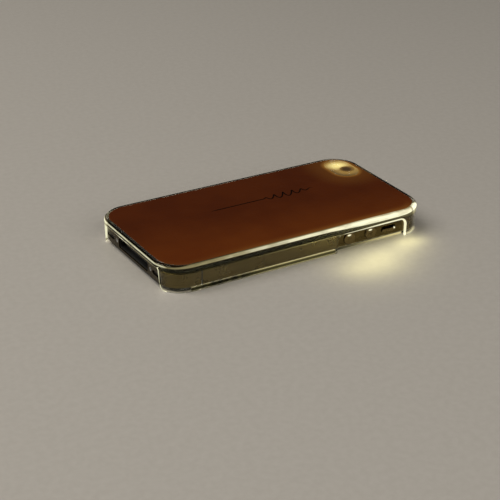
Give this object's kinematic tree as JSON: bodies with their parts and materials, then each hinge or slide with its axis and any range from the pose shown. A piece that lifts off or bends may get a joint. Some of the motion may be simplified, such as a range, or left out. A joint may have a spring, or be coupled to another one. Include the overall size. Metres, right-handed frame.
{
  "type": "slab smartphone in light-guide case",
  "caption": "Slim slab touch-screen phone lying on its screen in a clear clip-on case with a bronze back panel, its edges lit by the phone's flash through a reflector.",
  "frame": {"origin": "centre of the footprint, on the surface that the screen glass and the case's edge rest on", "axes": "+X towards the phone's top end, -Y towards the side with the volume buttons, +Z from the screen up to the back"},
  "size_m": [0.1184, 0.0612, 0.011],
  "materials": {
    "clear_plastic": "clear moulded polycarbonate",
    "bronze_panel": "anodised, satin",
    "reflector_plastic": "gloss",
    "black_glass": "polished, opaque behind",
    "clear_glass": "polished",
    "band_steel": "fine brushed",
    "sheet_steel": "stamped sheet",
    "ring_steel": "turned",
    "black_plastic": "moulded",
    "button_steel": "turned and polished",
    "screen_glass": "laminated display",
    "cell_wrap": "laminated pouch",
    "tab_film": "clear film",
    "board_resin": "solder mask",
    "chip_resin": "moulded",
    "contact_gold": "plated",
    "flex_film": "polyimide",
    "mesh_metal": "woven mesh, black",
    "tungsten": "sintered",
    "card_plastic": "printed card",
    "led_phosphor": "lit phosphor"
  },
  "bodies": {
    "phone": {"front_glass": "black_glass", "back_glass": "black_glass", "front_bezel": "black_plastic", "back_frame": "black_plastic", "band_left": "band_steel", "band_right": "band_steel", "band_bottom": "band_steel", "antenna_seams": "black_plastic", "mid_plate": "sheet_steel", "lcd_panel": "screen_glass", "lcd_backplate": "sheet_steel", "earpiece_mesh": "mesh_metal", "earpiece_speaker": "black_plastic", "front_camera": "black_plastic", "proximity_sensor": "black_plastic", "home_switch": "sheet_steel", "camera_lens_ring": "ring_steel", "camera_window": "clear_glass", "rear_camera": "black_plastic", "flash_window": "clear_glass", "flash_led": "led_phosphor", "battery": "cell_wrap", "battery_pull_tab": "tab_film", "battery_connector": "black_plastic", "logic_board": "board_resin", "board_chips": "chip_resin", "board_shields": "sheet_steel", "board_screws": "sheet_steel", "sim_tray": "band_steel", "sim_card": "card_plastic", "sim_socket": "sheet_steel", "headphone_jack": "black_plastic", "vibration_motor": "ring_steel", "loudspeaker": "black_plastic", "dock_connector": "black_plastic", "dock_contacts": "contact_gold", "dock_flex": "flex_film", "microphones": "sheet_steel", "grille_meshes": "mesh_metal", "bottom_screws": "sheet_steel", "side_switches": "sheet_steel", "side_button_bracket": "sheet_steel", "power_switch": "sheet_steel", "antenna_clips": "contact_gold"},
    "case": {"case_shell": "clear_plastic", "case_snap_lips": "clear_plastic", "case_back_panel": "bronze_panel", "flash_reflector": "reflector_plastic"},
    "volume_up": {"volume_up_button": "button_steel"},
    "volume_down": {"volume_down_button": "button_steel"},
    "mute": {"mute_lever": "button_steel"},
    "power": {"power_button": "button_steel"},
    "home": {"home_button": "black_plastic"},
    "motor": {"motor_weight": "tungsten"}
  },
  "joints": [
    {"name": "case_lift", "type": "slide", "parent": "phone", "child": "case", "axis": [0, 0, 1], "range_m": [0, 0.02], "deforming": ["case_snap_lips"]},
    {"name": "volume_up_press", "type": "slide", "parent": "phone", "child": "volume_up", "axis": [0, 1, 0], "range_m": [0, 0.00035], "stiffness_N_per_m": 3000, "springref_m": -0.0001},
    {"name": "volume_down_press", "type": "slide", "parent": "phone", "child": "volume_down", "axis": [0, 1, 0], "range_m": [0, 0.00035], "stiffness_N_per_m": 3000, "springref_m": -0.0001},
    {"name": "power_press", "type": "slide", "parent": "phone", "child": "power", "axis": [-1, 0, 0], "range_m": [0, 0.00035], "stiffness_N_per_m": 3000, "springref_m": -0.0001},
    {"name": "home_press", "type": "slide", "parent": "phone", "child": "home", "axis": [0, 0, 1], "range_m": [0, 0.00035], "stiffness_N_per_m": 3000, "springref_m": -0.0001},
    {"name": "mute_slide", "type": "slide", "parent": "phone", "child": "mute", "axis": [0, 0, 1], "range_m": [0, 0.0011]},
    {"name": "motor_spin", "type": "hinge", "parent": "phone", "child": "motor", "pos_m": [0.0495, -0.004, 0.0055], "axis": [0, 1, 0], "continuous": true}
  ]
}
